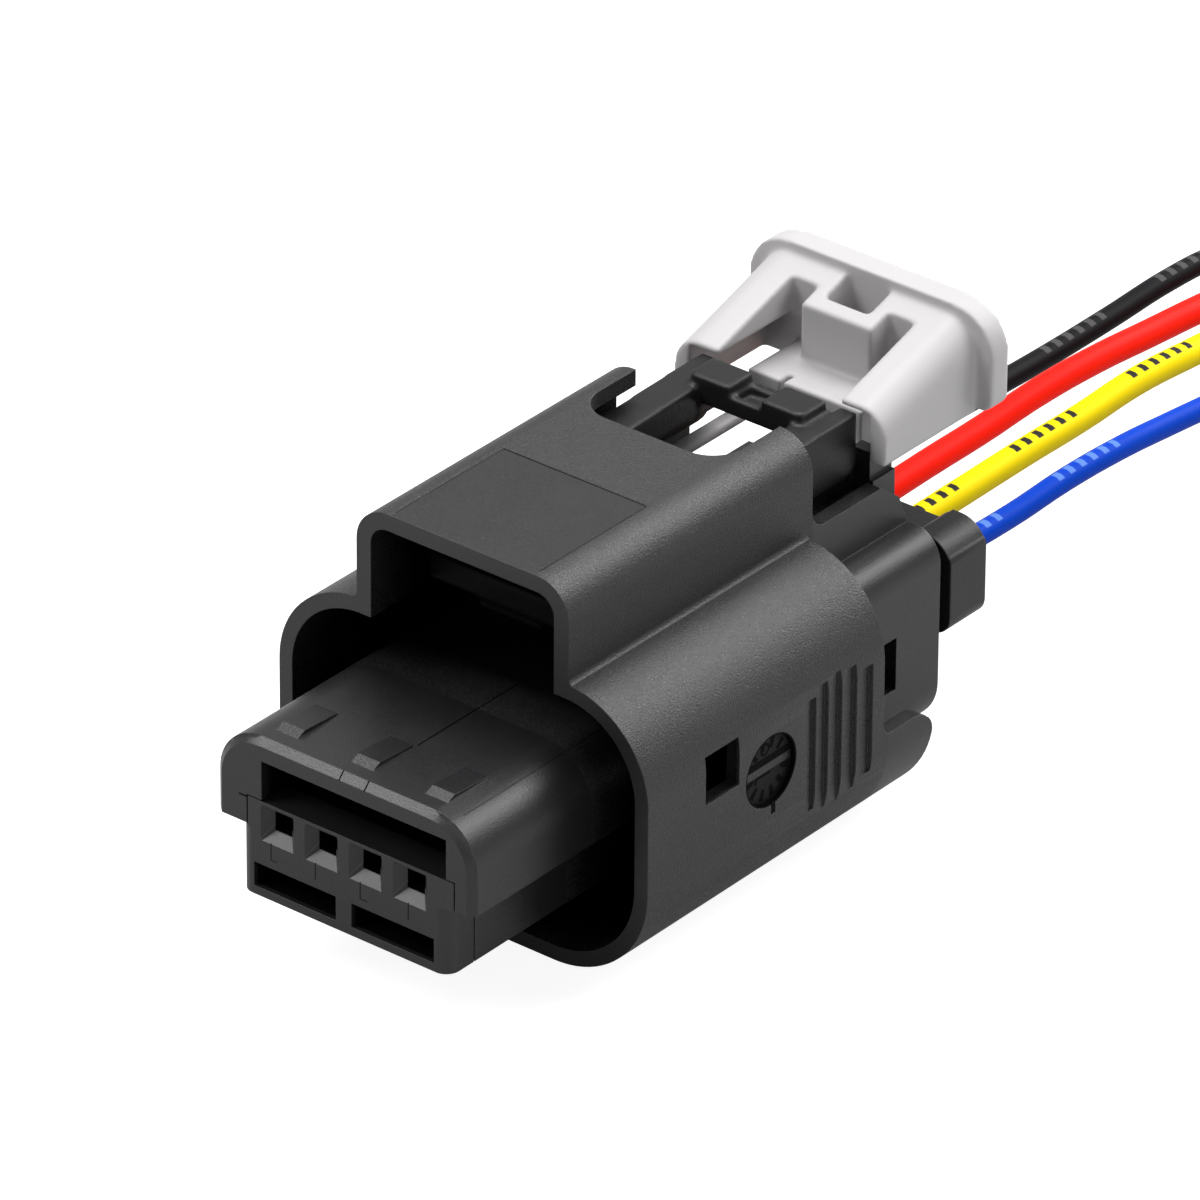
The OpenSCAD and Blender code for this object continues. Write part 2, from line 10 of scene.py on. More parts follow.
import bpy
from mathutils import Euler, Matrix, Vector

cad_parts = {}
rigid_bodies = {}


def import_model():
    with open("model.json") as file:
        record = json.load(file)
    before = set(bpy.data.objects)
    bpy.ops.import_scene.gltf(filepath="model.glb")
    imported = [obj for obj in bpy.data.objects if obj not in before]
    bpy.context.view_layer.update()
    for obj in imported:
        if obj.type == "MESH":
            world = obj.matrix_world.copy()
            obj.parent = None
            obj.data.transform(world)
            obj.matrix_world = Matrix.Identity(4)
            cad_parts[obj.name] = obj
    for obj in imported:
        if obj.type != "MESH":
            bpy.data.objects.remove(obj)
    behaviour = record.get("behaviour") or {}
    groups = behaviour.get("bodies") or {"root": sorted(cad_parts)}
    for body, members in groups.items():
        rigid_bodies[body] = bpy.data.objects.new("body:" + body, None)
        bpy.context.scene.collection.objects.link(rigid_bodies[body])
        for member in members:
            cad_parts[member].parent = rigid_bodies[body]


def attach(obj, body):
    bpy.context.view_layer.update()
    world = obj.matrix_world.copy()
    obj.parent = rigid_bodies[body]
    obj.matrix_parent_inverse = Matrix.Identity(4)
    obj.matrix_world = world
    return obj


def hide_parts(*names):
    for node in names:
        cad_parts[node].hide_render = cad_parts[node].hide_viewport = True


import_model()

LOG = logging.getLogger("connector")
MM = 0.001
NOSE_Y = -0.0267  # the nose face in the row frame, in metres
FAR = 99.0  # past every piece, in millimetres
HARD = 0.001  # fading edge of a mask that ends at once, in millimetres
WAYS = (-5.25, -1.75, 1.75, 5.25)  # the four contacts across the nose, in millimetres
SMOOTH_UNDER = 23.0  # faces of a crisp piece that meet at up to this angle are shaded as one, in degrees
ALL_SMOOTH = 180.0  # the same for a piece that is softly rounded all over
BEVEL_OVER = 40.0  # edges sharper than this are bevelled, in degrees
FLAT_UNDER = 0.5  # neighbours that are this flat become one face, in degrees
MERGE_UNDER = 1e-6  # points this close become one, in metres
THIN, THICK = 0.78, 0.95  # radii of the leads, in millimetres
BLACK_PLASTIC = (0.012, 0.012, 0.013)
# plain black for painted shade in recesses and for dark seams
SHADE_AND_SEAM_BLACK = (0.003, 0.003, 0.003, 1.0)

Point = tuple[float, float, float]
Colour = tuple[float, float, float]
Span = Union[tuple[float, float], tuple[float, float, float]]


def at(x: float, y: float, z: float) -> Vector:
    """Turn a place counted in millimetres from the nose face into the row frame."""
    return Vector((x * MM, y * MM + NOSE_Y, z * MM))


# ---------------------------------------------------------------- shader maths


class Wire:
    """One socket of a material, with arithmetic that adds Math nodes."""

    def __init__(self, tree: bpy.types.NodeTree, socket: bpy.types.NodeSocket) -> None:
        """Hold a socket and the tree that it is in."""
        self.tree = tree
        self.socket = socket

    def _math(self, operation: str, *values: Union["Wire", float]) -> "Wire":
        """Add one Math node.

        Args:
            operation: the node's operation.
            values: its inputs, in order.
        Returns:
            The node's result.
        """
        node = self.tree.nodes.new("ShaderNodeMath")
        node.operation = operation
        for slot, value in zip(node.inputs, values):
            if isinstance(value, Wire):
                self.tree.links.new(value.socket, slot)
            else:
                slot.default_value = value
        return Wire(self.tree, node.outputs[0])

    def __add__(self, other: Union["Wire", float]) -> "Wire":
        """Sum."""
        return self._math("ADD", self, other)

    __radd__ = __add__

    def __mul__(self, other: Union["Wire", float]) -> "Wire":
        """Product."""
        return self._math("MULTIPLY", self, other)

    __rmul__ = __mul__

    def __sub__(self, other: Union["Wire", float]) -> "Wire":
        """Difference."""
        return self._math("SUBTRACT", self, other)

    def __rsub__(self, other: float) -> "Wire":
        """Difference the other way round."""
        return self._math("SUBTRACT", other, self)

    def __truediv__(self, other: Union["Wire", float]) -> "Wire":
        """Quotient."""
        return self._math("DIVIDE", self, other)

    def __gt__(self, other: Union["Wire", float]) -> "Wire":
        """One where this is greater, else nought."""
        return self._math("GREATER_THAN", self, other)

    def __lt__(self, other: Union["Wire", float]) -> "Wire":
        """One where this is less, else nought."""
        return self._math("LESS_THAN", self, other)

    def root(self) -> "Wire":
        """Square root."""
        return self._math("SQRT", self)

    def bearing(self, other: "Wire") -> "Wire":
        """Angle of the direction that has this as its rise and the other as its run."""
        return self._math("ARCTAN2", self, other)

    def positive(self) -> "Wire":
        """This where it is above nought, else nought."""
        return self._math("MAXIMUM", self, 0.0)

    def magnitude(self) -> "Wire":
        """Absolute value."""
        return self._math("ABSOLUTE", self)

    def wrapped(self, period: float) -> "Wire":
        """Remainder after division by a period."""
        return self._math("MODULO", self, period)

    def near(self, centre: float, half: float, soft: float) -> "Wire":
        """A band round a value.

        Args:
            centre: the middle of the band.
            half: half its width.
            soft: the width of its fading edge.
        Returns:
            One inside the band, nought outside.
        """
        out = ((self - centre).magnitude() - half) / soft
        clamp = self._math("MULTIPLY", 1.0 - out, 1.0)
        clamp.socket.node.use_clamp = True
        return clamp


def corner(u: Wire, v: Wire, start_u: float, start_v: float, radius: float) -> Wire:
    """The inside of a rounded corner that opens towards low values.

    Args:
        u: the first place, in metres.
        v: the second place, in metres.
        start_u: where the rounding starts along the first axis, in millimetres.
        start_v: where it starts along the second axis, in millimetres.
        radius: its radius in millimetres.
    Returns:
        One inside, nought outside.
    """
    a = (u - start_u * MM).positive()
    b = (v - start_v * MM).positive()
    return (a * a + b * b).root() < radius * MM


def clamped(value: Wire) -> Wire:
    """The same value held between nought and one."""
    held = value * 1.0
    held.socket.node.use_clamp = True
    return held


class Shader:
    """A material under construction."""

    def __init__(self, name: str) -> None:
        """Start a material that holds one Principled BSDF."""
        self.material = bpy.data.materials.new(name)
        self.material.use_nodes = True
        self.tree = self.material.node_tree
        self.bsdf = self.tree.nodes["Principled BSDF"]

    def node(self, kind: str, out: Union[int, str] = 0, settings: Optional[dict] = None,
             **values: object) -> Wire:
        """Add any node.

        Args:
            kind: the node's type.
            out: which of its outputs to return.
            settings: properties that are set first.
            values: values or links of its sockets, by name.
        Returns:
            The chosen output.
        """
        made = self.tree.nodes.new(kind)
        for key, value in (settings or {}).items():
            setattr(made, key, value)
        for key, value in values.items():
            slot = made.inputs[key.replace("_", " ")]
            if isinstance(value, Wire):
                self.tree.links.new(value.socket, slot)
            else:
                slot.default_value = value
        return Wire(self.tree, made.outputs[out])

    def place(self) -> tuple[Wire, Wire, Wire, Wire]:
        """Object coordinates as a vector, and its three parts in metres."""
        where = self.node("ShaderNodeTexCoord", "Object")
        parts = self.tree.nodes.new("ShaderNodeSeparateXYZ")
        self.tree.links.new(where.socket, parts.inputs[0])
        x, y, z = (Wire(self.tree, parts.outputs[i]) for i in range(3))
        return where, x, y, z

    def mix(self, share: Wire, low: Union[Wire, Colour], high: Union[Wire, Colour]) -> Wire:
        """Blend two colours.

        Args:
            share: how much of the second colour.
            low: the first colour.
            high: the second colour.
        Returns:
            The blended colour.
        """
        made = self.tree.nodes.new("ShaderNodeMix")
        made.data_type = "RGBA"
        self.tree.links.new(share.socket, made.inputs["Factor"])
        for name, value in (("A", low), ("B", high)):
            slot = [s for s in made.inputs if s.name == name and s.type == "RGBA"][0]
            if isinstance(value, Wire):
                self.tree.links.new(value.socket, slot)
            else:
                slot.default_value = (*value, 1.0)
        return Wire(self.tree, [s for s in made.outputs if s.type == "RGBA"][0])

    def darken(self, share: Wire) -> None:
        """Mix in a plain black surface that mirrors nothing, as painted shade in recesses and as dark seams.

        Args:
            share: how much of the black surface shows.
        """
        black = self.tree.nodes.new("ShaderNodeBsdfDiffuse")
        black.inputs["Color"].default_value = SHADE_AND_SEAM_BLACK
        both = self.tree.nodes.new("ShaderNodeMixShader")
        self.tree.links.new(share.socket, both.inputs["Fac"])
        self.tree.links.new(self.bsdf.outputs[0], both.inputs[1])
        self.tree.links.new(black.outputs[0], both.inputs[2])
        self.tree.links.new(both.outputs[0], self.tree.nodes["Material Output"].inputs["Surface"])

    def set(self, **values: object) -> None:
        """Set or link sockets of the Principled BSDF."""
        for key, value in values.items():
            slot = self.bsdf.inputs[key.replace("_", " ")]
            if isinstance(value, Wire):
                self.tree.links.new(value.socket, slot)
            elif isinstance(value, tuple) and len(value) == 3:
                slot.default_value = (*value, 1.0)
            else:
                slot.default_value = value


# ---------------------------------------------------------------- finishes


@dataclass(frozen=True)
class Marks:
    """Masks of one piece: grooves, smooth fields and the painted shade of its recesses and inside."""

    groove: Wire
    smooth: Wire
    # deep: where painted shade of recesses and insides shows
    deep: Wire

    def faded(self, left: float) -> Wire:
        """One where the piece is grained, and what is left of it in the smooth fields."""
        return 1.0 - self.smooth * (1.0 - left)


Marker = Callable[[Wire, Wire, Wire], Marks]


@dataclass(frozen=True)
class Moulded:
    """Moulded plastic with a fine spark-eroded grain and softened edges.

    The grain is the height of its bumps, as a share of bump. Mottle and speckle vary the colour broadly
    and finely, by up to shade, and sheen and glitter do the same to the roughness. The smooth fields keep
    only the named share of grain and glitter. Sizes are in metres.
    """

    name: str
    colour: Colour
    rough: float = 0.5
    grain: float = 0.0
    grain_size: float = 0.00022
    edge: float = 0.00018
    gloss: float = 0.5
    mottle: float = 0.12
    speckle: float = 0.0
    glitter: float = 0.0
    mottle_scale: float = 260.0
    sheen: float = 0.10
    shade: float = 0.14
    bump: float = 0.00003
    groove_shade: float = 0.2
    groove_dark: float = 0.9
    groove_depth: float = 1.5
    smooth_grain: float = 0.3
    smooth_glitter: float = 0.2
    smooth_polish: float = 0.05

    def make(self, marks: Optional[Marker] = None) -> bpy.types.Material:
        """Build the material.

        Args:
            marks: a function that returns the marks of this piece.
        Returns:
            The material.
        """
        s = Shader(self.name)
        where, x, y, z = s.place()
        fine = s.node("ShaderNodeTexNoise", "Fac", Vector=where, Scale=1.0 / self.grain_size,
                      Detail=2.0, Roughness=0.6)
        broad = s.node("ShaderNodeTexNoise", "Fac", Vector=where, Scale=self.mottle_scale,
                       Detail=3.0, Roughness=0.55)
        tone = (broad - 0.5) * (2.0 * self.mottle)
        if self.speckle:
            tone = tone + (fine - 0.5) * self.speckle
        dark = tuple(c * (1.0 - self.shade) for c in self.colour)
        light = tuple(min(1.0, c * (1.0 + self.shade)) for c in self.colour)
        colour = s.mix(tone + 0.5, dark, light)
        rough = self.rough + (broad - 0.5) * self.sheen
        height = fine * self.grain
        if marks:
            found = marks(x, y - NOSE_Y, z)
            rough = rough + (fine - 0.5) * found.faded(self.smooth_glitter) * self.glitter
            # grooves darken: real dark seams, and painted shade in the dial's engravings
            colour = s.mix(found.groove, colour, tuple(c * self.groove_shade for c in self.colour))
            height = height * found.faded(self.smooth_grain) - found.groove * self.groove_depth
            rough = rough - found.smooth * self.smooth_polish
            # painted shade: the deep mask and the grooves are mixed towards plain black
            s.darken(clamped(found.deep + found.groove * self.groove_dark))
        soft = s.node("ShaderNodeBevel", settings={"samples": 4}, Radius=self.edge)
        if self.grain or marks:
            normal = s.node("ShaderNodeBump", Strength=1.0, Distance=self.bump, Height=height, Normal=soft)
        else:
            normal = soft
        s.set(Base_Color=colour, Roughness=rough, Normal=normal, IOR=1.52, Specular_IOR_Level=self.gloss)
        return s.material


@dataclass(frozen=True)
class Insulation:
    """Extruded insulation, with or without groups of plain ink dashes on its top. Sizes are in metres."""

    name: str
    colour: Colour
    rough: float = 0.42
    gloss: float = 0.06
    streak_scale: float = 420.0
    shade: float = 0.07
    ink: Optional[Colour] = None
    centre_x: float = 0.0
    group_pitch: float = 0.0125
    group_middle: float = 0.0035
    group_half: float = 0.0033
    dash_pitch: float = 0.0012
    dash_half: float = 0.00024
    mark_half: float = 0.00036
    mark_offset: float = 0.0001
    mark_above: float = 0.0095
    group_fade: float = 0.00005
    fade: float = 0.00006

    def make(self) -> bpy.types.Material:
        """Build the material.

        Returns:
            The material.
        """
        s = Shader(self.name)
        where, x, y, z = s.place()
        streak = s.node("ShaderNodeTexNoise", "Fac", Vector=where, Scale=self.streak_scale, Detail=2.0)
        colour = s.mix(streak, tuple(c * (1.0 - self.shade) for c in self.colour), self.colour)
        if self.ink:
            along = y.wrapped(self.group_pitch)
            group = along.near(self.group_middle, self.group_half, self.group_fade)
            dash = along.wrapped(self.dash_pitch).near(self.dash_pitch / 2, self.dash_half, self.fade)
            side = (x - self.centre_x).near(self.mark_offset, self.mark_half, self.fade)
            colour = s.mix(group * dash * side * (z > self.mark_above), colour, self.ink)
        bump = s.node("ShaderNodeBump", Strength=0.25, Distance=0.00002, Height=streak)
        s.set(Base_Color=colour, Roughness=self.rough, Normal=bump, IOR=1.5, Specular_IOR_Level=self.gloss)
        return s.material


@dataclass(frozen=True)
class Metal:
    """Plated or bare metal, unevenly worn."""

    name: str
    colour: Colour
    rough: float = 0.3
    wear: float = 0.2
    wear_scale: float = 900.0
    shade: float = 0.15

    def make(self) -> bpy.types.Material:
        """Build the material.

        Returns:
            The material.
        """
        s = Shader(self.name)
        where, *_ = s.place()
        worn = s.node("ShaderNodeTexNoise", "Fac", Vector=where, Scale=self.wear_scale, Detail=3.0)
        colour = s.mix(worn, tuple(c * (1.0 - self.shade) for c in self.colour), self.colour)
        s.set(Base_Color=colour, Roughness=worn * self.wear + self.rough, Metallic=1.0)
        return s.material


# ---------------------------------------------------------------- marks on the pieces


def band(value: Wire, low: float, high: float, soft: float = 0.02) -> Wire:
    """A mask between two places given in millimetres."""
    return value.near((low + high) / 2 * MM, (high - low) / 2 * MM, soft * MM)


@dataclass(frozen=True)
class Patch:
    """A box that picks out part of a surface, in millimetres from the nose face.

    Each span holds its low end, its high end and, where it needs one, the width of its fading edge.
    """

    x: Optional[Span] = None
    y: Optional[Span] = None
    z: Optional[Span] = None

    def mask(self, x: Wire, y: Wire, z: Wire) -> Wire:
        """Build the mask of the box.

        Args:
            x: place across, in metres.
            y: place along from the nose face, in metres.
            z: height, in metres.
        Returns:
            One inside the box, nought outside.
        """
        bands = [band(place, *span) for place, span in ((x, self.x), (y, self.y), (z, self.z)) if span]
        whole = bands[0]
        for part in bands[1:]:
            whole = whole * part
        return whole


# Patches of the housing. Those named PAIR count x from the middle plane, to both sides.
ROOF = (26.2, FAR, HARD)
ROOF_REAR_SEAM = Patch(x=(-5.65, 5.65), y=(22.10, 22.20), z=ROOF)
ROOF_SEAM_PAIR = Patch(x=(5.60, 5.70), y=(11.8, 22.15), z=ROOF)
ROOF_PANEL = Patch(x=(-5.65, 5.65), y=(11.0, 22.15), z=ROOF)
NOSE_TOP = (15.2, 16.0, 0.05)
NOSE_SEAM = Patch(x=(1.20, 1.29), y=(5.6, 24.0), z=NOSE_TOP)
NOSE_FAINT_PAIR = Patch(x=(8.20, 8.28), y=(1.5, 26.0), z=NOSE_TOP)
NOSE_CUTS = tuple(Patch(x=(start, start + 0.07), y=(-FAR, 0.5, HARD), z=(15.1, FAR, HARD))
                  for start in (-0.35, 1.65))
NOSE_TICK = Patch(x=(-8.3, -7.5), y=(-FAR, 0.2, HARD), z=(11.13, 11.22))
NOSE = Patch(y=(-FAR, 11.3, HARD))
REAR = Patch(y=(35.25, FAR, HARD))
DIAL_SIDE = Patch(x=(13.5, FAR, HARD))
# recesses of the housing that get painted shade: the slot, the pockets and the side window
SLOT = Patch(x=(-6.6, 8.2), y=(1.0, 10.2, 0.6), z=(11.2, 14.15))
POCKET_PAIR = Patch(x=(0.3, 7.3), y=(2.0, 12.0, 0.5), z=(4.9, 8.8))
SIDE_WINDOW = Patch(x=(12.5, 14.4), y=(16.7, 20.4), z=(11.0, 14.7))

# Painted shade inside the shroud and the tunnel over it: how far it reaches along, and for each rounded
# corner where the rounding starts across and in height, and its radius
INSIDE_DEPTH = (15.5, 32.5, 3.5)
SHROUD_TOP = (8.05, 13.35, 5.6)
SHROUD_BOTTOM = (7.35, -7.3, 6.3)
TUNNEL_TOP = (5.87, 24.15, 1.38)
TUNNEL_FROM = 15.0

# Patches of the retainer; WINDOW_PAIR and BORES get painted shade
ON_FACE = (-FAR, 0.2, HARD)
FUNNEL_SEAMS = tuple(Patch(x=(start, start + 0.08), y=ON_FACE, z=(7.35, 8.5))
                     for start in (-5.80, -2.26, 1.30, 5.10))
FUNNEL_HOOKS = tuple(Patch(x=span, y=ON_FACE, z=(7.30, 7.38)) for span in ((-5.8, -5.3), (1.3, 1.9)))
WINDOW_PAIR = Patch(x=(0.5, 7.25), y=(0.35, FAR, HARD), z=(4.9, 6.9))
FUNNEL_BOTTOM = 0.66
BORES = Patch(y=(FUNNEL_BOTTOM + HARD, FAR, HARD), z=(8.9, 10.95))  # the funnels' inner rims stay unmarked

# Patch of the lever that gets painted shade under the roof
UNDER_ROOF = Patch(y=(3.5, 26.5, 4.0))


def masked(patches: Sequence[Patch], x: Wire, y: Wire, z: Wire) -> Wire:
    """Add up the masks of several patches.

    Args:
        patches: the patches.
        x: place across, in metres.
        y: place along from the nose face, in metres.
        z: height, in metres.
    Returns:
        The sum, which may be above one where they overlap.
    """
    whole = patches[0].mask(x, y, z)
    for patch in patches[1:]:
        whole = whole + patch.mask(x, y, z)
    return whole


@dataclass(frozen=True)
class Dial:
    """Engraved marks of a plain date dial: ticks, a slot and an arrow, in millimetres, darkened as painted
    shade.
    """

    centre_y: float = 23.35
    centre_z: float = 10.75
    radius: float = 2.38
    ticks: int = 12
    fade: float = 0.03
    # share by which the whole disc is darkened, all but the raised bar
    ground: float = 0.7

    def mask(self, y: Wire, z: Wire) -> Wire:
        """Build the mask of the engraved parts.

        Args:
            y: place along, in metres from the nose face.
            z: height, in metres.
        Returns:
            One in the marks, nought outside.
        """
        u, v = (y - self.centre_y * MM) / MM, (z - self.centre_z * MM) / MM
        reach = (u * u + v * v).root()
        step = math.tau / self.ticks
        ticks = (v.bearing(u) + math.pi).wrapped(step).near(step / 2, 0.09, 0.02)
        ring = reach.near(1.78, 0.36, 0.05)
        slot = v.near(0.6, 0.27, self.fade) * (reach < 2.4)
        arrow = v.near(-0.34, 0.07, self.fade) * u.near(-0.4, 0.75, self.fade)
        barb = u.near(-1.1, 0.09, self.fade) * v.near(-0.52, 0.2, self.fade)
        across, up = u + 0.2, v - 1.45
        eye = (across * across + up * up).root().near(0.36, 0.07, self.fade)
        rim = reach.near(2.42, 0.06, self.fade)
        pointer = u.near(0.25, 0.2, self.fade) * v.near(-2.75, 0.42, self.fade)
        ridge = v.near(0.08, 0.26, 0.02)
        inner = clamped(ticks * ring + slot + arrow + barb + eye + self.ground) * (1.0 - ridge)
        return clamped(inner * (reach < self.radius) + rim + pointer)


def housing_marks(x: Wire, y: Wire, z: Wire) -> Marks:
    """Seams, dial, smooth fields and painted shade inside the housing.

    Args:
        x: place across, in metres.
        y: place along from the nose face, in metres.
        z: height, in metres.
    Returns:
        The masks.
    """
    wide = x.magnitude()
    groove = ROOF_REAR_SEAM.mask(x, y, z) + ROOF_SEAM_PAIR.mask(wide, y, z) * 0.5
    groove = groove + masked((NOSE_SEAM, NOSE_TICK, *NOSE_CUTS), x, y, z)
    groove = groove + NOSE_FAINT_PAIR.mask(wide, y, z) * 0.3
    # the dial's engravings join the grooves, darkened as painted shade
    groove = groove + Dial().mask(y, z) * DIAL_SIDE.mask(x, y, z)
    smooth = ROOF_PANEL.mask(x, y, z) * 0.75 + masked((NOSE, REAR), x, y, z)
    # painted shade: the inside of the shroud and of the tunnel, the slot, the pockets and the side window
    shroud = corner(wide, z, *SHROUD_TOP) * corner(wide, 0.0 - z, *SHROUD_BOTTOM)
    tunnel = corner(wide, z, *TUNNEL_TOP) * (z > TUNNEL_FROM * MM)
    deep = clamped(shroud + tunnel) * band(y, *INSIDE_DEPTH)
    deep = deep + SLOT.mask(x, y, z) + POCKET_PAIR.mask(wide, y, z) + SIDE_WINDOW.mask(x, y, z) * 0.6
    return Marks(clamped(groove), clamped(smooth), clamped(deep))


def retainer_marks(x: Wire, y: Wire, z: Wire) -> Marks:
    """Seams under the funnels and painted shade in the retainer's windows and bores.

    Args:
        x: place across, in metres.
        y: place along from the nose face, in metres.
        z: height, in metres.
    Returns:
        The masks.
    """
    seams = masked((*FUNNEL_SEAMS, *FUNNEL_HOOKS), x, y, z)
    inside = WINDOW_PAIR.mask(x.magnitude(), y, z) + BORES.mask(x, y, z)
    return Marks(clamped(seams) * 0.7, x * 0.0, clamped(inside))


def lever_marks(x: Wire, y: Wire, z: Wire) -> Marks:
    """Painted shade on the part of the lever that lies under the roof."""
    none = x * 0.0
    return Marks(none, none, UNDER_ROOF.mask(x, y, z) * 0.8)


# ---------------------------------------------------------------- modelling helpers


def clear() -> None:
    """Deselect everything."""
    bpy.ops.object.select_all(action="DESELECT")


def pick(obj: bpy.types.Object) -> None:
    """Make one object the only selected one and the active one."""
    clear()
    obj.select_set(True)
    bpy.context.view_layer.objects.active = obj


def settle(obj: bpy.types.Object) -> None:
    """Put an object's place into its mesh, and leave the object picked."""
    pick(obj)
    bpy.ops.object.transform_apply(location=True, rotation=True, scale=True)


def modify(obj: bpy.types.Object, kind: str, **settings: object) -> None:
    """Add a modifier to the picked object and apply it.

    Args:
        obj: the object.
        kind: the modifier's type.
        settings: its properties.
    """
    modifier = obj.modifiers.new(kind.lower(), kind)
    for key, value in settings.items():
        setattr(modifier, key, value)
    bpy.ops.object.modifier_apply(modifier=modifier.name)


def combine(base: bpy.types.Object, other: bpy.types.Object, operation: str) -> None:
    """Unite one closed piece with another, or cut the other out of it, and drop the other.

    Args:
        base: the piece that stays.
        other: the piece that goes.
        operation: UNION or DIFFERENCE.
    """
    pick(base)
    modify(base, "BOOLEAN", operation=operation, solver="EXACT", object=other)
    bpy.data.objects.remove(other)


def finish(obj: bpy.types.Object, name: str, material: bpy.types.Material, body: str,
           edge: float = 0.0, smooth: float = 35.0) -> None:
    """Name, dress and fasten a new piece.

    Args:
        obj: the piece.
        name: its name.
        material: its finish.
        body: the CAD body that it rides on.
        edge: width of a real bevel, in metres.
        smooth: angle up to which faces are shaded as one, in degrees.
    """
    settle(obj)
    obj.name = name
    obj.data.materials.clear()
    obj.data.materials.append(material)
    if edge:
        modify(obj, "BEVEL", width=edge, segments=3, limit_method="ANGLE",
               angle_limit=math.radians(BEVEL_OVER))
    bpy.ops.object.shade_smooth()
    bpy.ops.object.mode_set(mode="EDIT")
    bpy.ops.mesh.select_mode(type="EDGE")
    bpy.ops.mesh.select_all(action="DESELECT")
    bpy.ops.mesh.edges_select_sharp(sharpness=math.radians(smooth))
    bpy.ops.mesh.mark_sharp()
    bpy.ops.object.mode_set(mode="OBJECT")
    modify(obj, "WEIGHTED_NORMAL", mode="FACE_AREA", weight=50, keep_sharp=True)
    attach(obj, body)
    LOG.info("%s rides on %s", name, body)


def merge(obj: bpy.types.Object) -> None:
    """Merge doubled points and flat neighbours of an object's mesh."""
    pick(obj)
    bpy.ops.object.mode_set(mode="EDIT")
    bpy.ops.mesh.select_all(action="SELECT")
    bpy.ops.mesh.remove_doubles(threshold=MERGE_UNDER)
    bpy.ops.mesh.dissolve_limited(angle_limit=math.radians(FLAT_UNDER))
    bpy.ops.object.mode_set(mode="OBJECT")


def slab(low: Point, high: Point) -> bpy.types.Object:
    """Add a box between two corners.

    Args:
        low: its lowest corner, in millimetres from the nose face.
        high: its highest corner, likewise.
    Returns:
        The new object.
    """
    clear()
    a, b = at(*low), at(*high)
    bpy.ops.mesh.primitive_cube_add(size=1, location=(a + b) / 2)
    obj = bpy.context.object
    obj.scale = b - a
    return obj


def funnel(centre: Point, wide: float, narrow: float, deep: float) -> bpy.types.Object:
    """Add a square funnel that narrows towards the leads.

    Args:
        centre: the middle of its mouth, in millimetres from the nose face.
        wide: half the side of its mouth in millimetres.
        narrow: half the side of its bottom in millimetres.
        deep: its depth in millimetres.
    Returns:
        The new object.
    """
    clear()
    x, y, z = centre
    side = math.sqrt(2.0) * MM
    bpy.ops.mesh.primitive_cone_add(vertices=4, radius1=narrow * side, radius2=wide * side, depth=deep * MM,
                                    location=at(x, y + deep / 2, z), rotation=(math.pi / 2, math.pi / 4, 0))
    return bpy.context.object


@dataclass(frozen=True)
class ContactHole:
    """One contact hole of the retainer: a square funnel and a throat behind it, in millimetres."""

    middle_x: float
    middle_z: float = 9.75
    mouth_y: float = -0.3
    mouth_half: float = 1.56
    bottom_half: float = 0.64
    funnel_depth: float = 0.96
    throat_half: float = 0.68
    throat_y: tuple[float, float] = (-1.0, 3.0)
    throat_z: tuple[float, float] = (9.15, 9.8)

    def throat(self) -> bpy.types.Object:
        """Add the box that is cut out for the throat."""
        (front, rear), (low, high) = self.throat_y, self.throat_z
        return slab((self.middle_x - self.throat_half, front, low),
                    (self.middle_x + self.throat_half, rear, high))

    def mouth(self) -> bpy.types.Object:
        """Add the funnel that is cut out for the mouth."""
        return funnel((self.middle_x, self.mouth_y, self.middle_z), self.mouth_half, self.bottom_half,
                      self.funnel_depth)


def soften(obj: bpy.types.Object, grid: float, passes: int) -> None:
    """Round every edge of a closed piece a little, as moulding does.

    Args:
        obj: the piece.
        grid: side of the cells that it is rebuilt from, in metres.
        passes: how often its surface is evened out.
    """
    pick(obj)
    modify(obj, "REMESH", mode="VOXEL", voxel_size=grid)
    modify(obj, "SMOOTH", factor=0.5, iterations=passes)


def cad(node: str) -> bpy.types.Object:
    """Find a CAD node by its name."""
    return next(o for o in bpy.data.objects if o.type == "MESH" and o.name == node)


def dress(node: str, material: bpy.types.Material) -> None:
    """Give a CAD node a better material."""
    for slot in cad(node).material_slots:
        slot.material = material


# ---------------------------------------------------------------- mouldings


@dataclass(frozen=True)
class Moulding:
    """A united, smoothly shaded copy that stands in for the CAD nodes of one moulding.

    Its edges are bevelled by edge, or it is rebuilt from cells of the side grid and evened out passes
    times. Both are in metres.
    """

    name: str
    nodes: tuple[str, ...]
    body: str
    plastic: Moulded
    marks: Optional[Marker] = None
    edge: float = 0.0
    grid: float = 0.0
    passes: int = 6
    holes: tuple[ContactHole, ...] = ()

    def _copied(self) -> list[bpy.types.Object]:
        """Copy the CAD nodes, each with its own clean mesh.

        Returns:
            The copies, in the order of the nodes.
        """
        parts = []
        for node in self.nodes:
            source = cad(node)
            part = source.copy()
            part.data = source.data.copy()
            part.parent = None
            part.matrix_world = source.matrix_world.copy()
            bpy.context.collection.objects.link(part)
            merge(part)
            parts.append(part)
        return parts

    def _drill(self, piece: bpy.types.Object) -> None:
        """Cut every throat and then every mouth out of a piece."""
        for tool in [hole.throat() for hole in self.holes] + [hole.mouth() for hole in self.holes]:
            settle(tool)
            combine(piece, tool, "DIFFERENCE")

    def build(self) -> None:
        """Make the copy, dress it and hide the CAD nodes."""
        material = self.plastic.make(self.marks)
        piece, *others = self._copied()
        for part in others:
            combine(piece, part, "UNION")
        self._drill(piece)
        merge(piece)
        if self.grid:
            soften(piece, self.grid, self.passes)
        finish(piece, self.name, material, self.body, edge=self.edge,
               smooth=ALL_SMOOTH if self.grid else SMOOTH_UNDER)
        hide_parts(*self.nodes)


